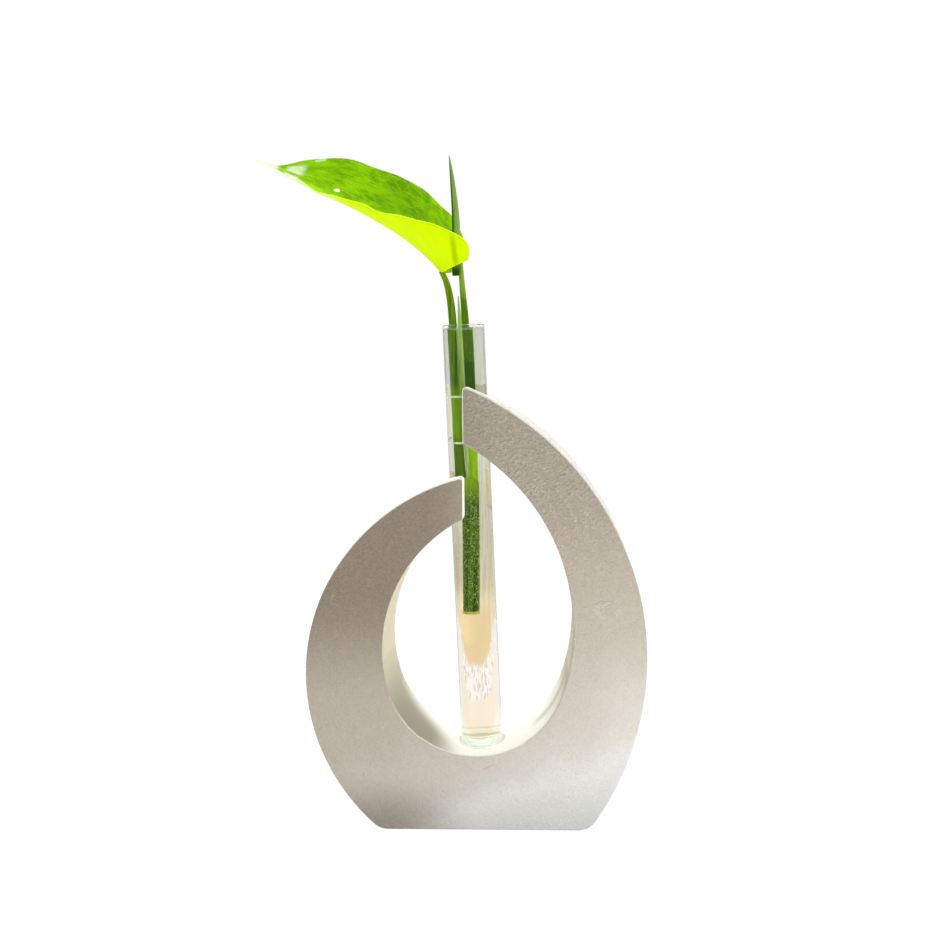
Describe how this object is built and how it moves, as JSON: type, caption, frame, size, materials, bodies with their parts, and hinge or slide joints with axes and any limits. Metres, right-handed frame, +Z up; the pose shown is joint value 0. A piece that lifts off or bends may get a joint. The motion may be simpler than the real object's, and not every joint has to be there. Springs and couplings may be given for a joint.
{
  "type": "test tube vase",
  "caption": "Cast crescent holder whose passing arms cup a leaning glass test tube with a plant cutting; the tube and the cutting lift out.",
  "frame": {"origin": "middle of the flat on which the holder rests, at its base's mid depth", "axes": "+Z up along the object's longest extent, +X to the right as the picture shows it, +Y away from the viewer through the holder's depth, its shortest extent"},
  "size_m": [0.138, 0.0444, 0.2405],
  "materials": {
    "holder_cement": "matt, sandy cast cement",
    "tube_glass": "clear, polished",
    "plant_stem": "satin green skin",
    "plant_leaf": "satin, waxy"
  },
  "bodies": {
    "base": {"holder": "holder_cement"},
    "tube": {"test_tube": "tube_glass"},
    "cutting": {"cutting_stem": "plant_stem", "leaf_petiole": "plant_stem", "shoot_petiole": "plant_stem", "leaf_sheath": "plant_leaf", "furled_leaf": "plant_leaf", "leaf_blade": "plant_leaf"}
  },
  "joints": [
    {"name": "tube_lift", "type": "slide", "parent": "base", "child": "tube", "axis": [-0.0391, 0, 0.9992], "range_m": [0, 0.135]},
    {"name": "cutting_lift", "type": "slide", "parent": "tube", "child": "cutting", "axis": [-0.0391, 0, 0.9992], "range_m": [0, 0.105]}
  ]
}
